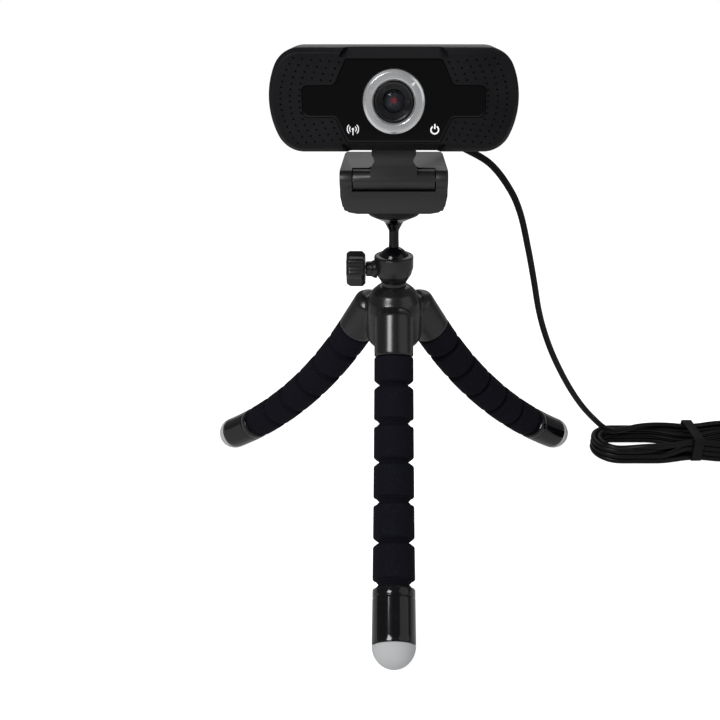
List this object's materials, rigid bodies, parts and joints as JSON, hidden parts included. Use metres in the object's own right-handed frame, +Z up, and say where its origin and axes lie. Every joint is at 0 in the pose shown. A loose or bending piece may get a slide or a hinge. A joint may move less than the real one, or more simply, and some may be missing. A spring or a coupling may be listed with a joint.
{
  "type": "webcam on tripod",
  "caption": "Small webcam with focus ring on a hinged monitor clip, screwed to a ball-head mini tripod with bending foam legs, with its tied USB cable.",
  "frame": {"origin": "on the table under the middle of the box around the tripod and webcam, without the cord", "axes": "+Z up, the webcam looks along -Y, +X to the right as seen from in front"},
  "size_m": [0.2951, 0.1672, 0.2075],
  "materials": {
    "foam": "matte closed-cell foam",
    "leg_sleeve": "glossy",
    "tip_rubber": "satin, translucent light grey",
    "tripod_plastic": "semi-gloss",
    "steel": "satin",
    "rubber": "matte",
    "tie": "satin",
    "clip_plastic": "satin",
    "brass": "satin",
    "bezel_plastic": "fine satin",
    "shell_plastic": "satin",
    "gloss_panel": "high gloss",
    "silver_ring": "turned and anodised",
    "lens_black": "satin",
    "lens_glass": "polished, coated",
    "board": "solder mask",
    "cord": "satin jacket",
    "light_pipe": "clear to milky"
  },
  "bodies": {
    "tripod": {"hub": "tripod_plastic", "hub_screw": "steel", "ball_socket": "tripod_plastic", "front_upper_foam": "foam", "left_upper_foam": "foam", "right_upper_foam": "foam", "front_wire": "steel", "left_wire": "steel", "right_wire": "steel", "cable": "cord", "cable_hank": "cord", "hank_tie": "tie", "plug_body": "cord", "plug_shell": "steel"},
    "lock_knob": {"lock_knob": "tripod_plastic", "lock_screw": "steel"},
    "ball": {"ball": "tripod_plastic"},
    "stem": {"stem_platform": "tripod_plastic", "platform_pad": "rubber", "camera_screw": "steel"},
    "clip_leg": {"clip_leg": "clip_plastic", "clip_leg_pad": "rubber", "thread_insert": "brass"},
    "clip_plate": {"clip_plate": "clip_plastic", "lip_pad": "rubber", "clip_hinge_pin": "steel", "tilt_pin": "steel"},
    "neck": {"neck": "clip_plastic", "swivel_screw": "steel", "swivel_washer": "steel"},
    "camera": {"front_bezel": "bezel_plastic", "rear_shell": "shell_plastic", "front_panel": "gloss_panel", "lens_barrel": "lens_black", "front_lens": "lens_glass", "lens_holder": "lens_black", "ir_filter": "lens_glass", "image_sensor": "lens_glass", "main_board": "board", "strain_relief": "cord", "case_screw_left": "steel", "case_screw_right": "steel", "microphone_left": "steel", "microphone_right": "steel", "status_light": "light_pipe", "power_light": "light_pipe"},
    "focus_ring": {"focus_ring": "silver_ring"},
    "front_middle": {"front_middle_foam": "foam"},
    "front_lower": {"front_lower_foam": "foam"},
    "front_end": {"front_end_sleeve": "leg_sleeve", "front_tip": "tip_rubber"},
    "left_middle": {"left_middle_foam": "foam"},
    "left_lower": {"left_lower_foam": "foam"},
    "left_end": {"left_end_sleeve": "leg_sleeve", "left_tip": "tip_rubber"},
    "right_middle": {"right_middle_foam": "foam"},
    "right_lower": {"right_lower_foam": "foam"},
    "right_end": {"right_end_sleeve": "leg_sleeve", "right_tip": "tip_rubber"}
  },
  "joints": [
    {"name": "front_hip", "type": "hinge", "parent": "tripod", "child": "front_middle", "pos_m": [0, -0.0113, 0.06455], "axis": [-1, 0, 0], "range_deg": [-20, 20], "deforming": ["front_wire"]},
    {"name": "front_knee", "type": "hinge", "parent": "front_middle", "child": "front_lower", "pos_m": [0, -0.03297, 0.04103], "axis": [-1, 0, 0], "range_deg": [-20, 20], "deforming": ["front_wire"]},
    {"name": "front_ankle", "type": "hinge", "parent": "front_lower", "child": "front_end", "pos_m": [0, -0.05735, 0.02033], "axis": [-1, 0, 0], "range_deg": [-20, 20], "deforming": ["front_wire"]},
    {"name": "left_hip", "type": "hinge", "parent": "tripod", "child": "left_middle", "pos_m": [-0.03159, 0.04342, 0.06455], "axis": [0.5, 0.866, 0], "range_deg": [-20, 20], "deforming": ["left_wire"]},
    {"name": "left_knee", "type": "hinge", "parent": "left_middle", "child": "left_lower", "pos_m": [-0.05035, 0.05425, 0.04103], "axis": [0.5, 0.866, 0], "range_deg": [-20, 20], "deforming": ["left_wire"]},
    {"name": "left_ankle", "type": "hinge", "parent": "left_lower", "child": "left_end", "pos_m": [-0.07147, 0.06644, 0.02033], "axis": [0.5, 0.866, 0], "range_deg": [-20, 20], "deforming": ["left_wire"]},
    {"name": "right_hip", "type": "hinge", "parent": "tripod", "child": "right_middle", "pos_m": [0.03159, 0.04342, 0.06455], "axis": [0.5, -0.866, 0], "range_deg": [-20, 20], "deforming": ["right_wire"]},
    {"name": "right_knee", "type": "hinge", "parent": "right_middle", "child": "right_lower", "pos_m": [0.05035, 0.05425, 0.04103], "axis": [0.5, -0.866, 0], "range_deg": [-20, 20], "deforming": ["right_wire"]},
    {"name": "right_ankle", "type": "hinge", "parent": "right_lower", "child": "right_end", "pos_m": [0.07147, 0.06644, 0.02033], "axis": [0.5, -0.866, 0], "range_deg": [-20, 20], "deforming": ["right_wire"]},
    {"name": "knob_turn", "type": "hinge", "parent": "tripod", "child": "lock_knob", "pos_m": [-0.016, 0.02518, 0.11917], "axis": [-1, 0, 0], "range_deg": [0, 360]},
    {"name": "ball_pitch", "type": "hinge", "parent": "tripod", "child": "ball", "pos_m": [0, 0.02518, 0.12247], "axis": [1, 0, 0], "range_deg": [-35, 35], "deforming": ["cable"]},
    {"name": "ball_roll", "type": "hinge", "parent": "ball", "child": "stem", "pos_m": [0, 0.02518, 0.12247], "axis": [0, 1, 0], "range_deg": [-35, 35], "deforming": ["cable"]},
    {"name": "platform_turn", "type": "hinge", "parent": "stem", "child": "clip_leg", "pos_m": [0, 0.02518, 0.14697], "axis": [0, 0, 1], "continuous": true, "deforming": ["cable"]},
    {"name": "clip_open", "type": "hinge", "parent": "clip_leg", "child": "clip_plate", "pos_m": [0, 0.04818, 0.15287], "axis": [-1, 0, 0], "range_deg": [0, 90], "deforming": ["cable"]},
    {"name": "camera_tilt", "type": "hinge", "parent": "clip_plate", "child": "neck", "pos_m": [0, 0.00868, 0.16027], "axis": [1, 0, 0], "range_deg": [-10, 30], "deforming": ["cable"]},
    {"name": "camera_swivel", "type": "hinge", "parent": "neck", "child": "camera", "pos_m": [0, 0.00968, 0.17217], "axis": [0, 0, 1], "range_deg": [-90, 90], "deforming": ["cable"]},
    {"name": "focus_turn", "type": "hinge", "parent": "camera", "child": "focus_ring", "pos_m": [0, -0.00332, 0.18997], "axis": [0, 1, 0], "range_deg": [-60, 60]}
  ]
}
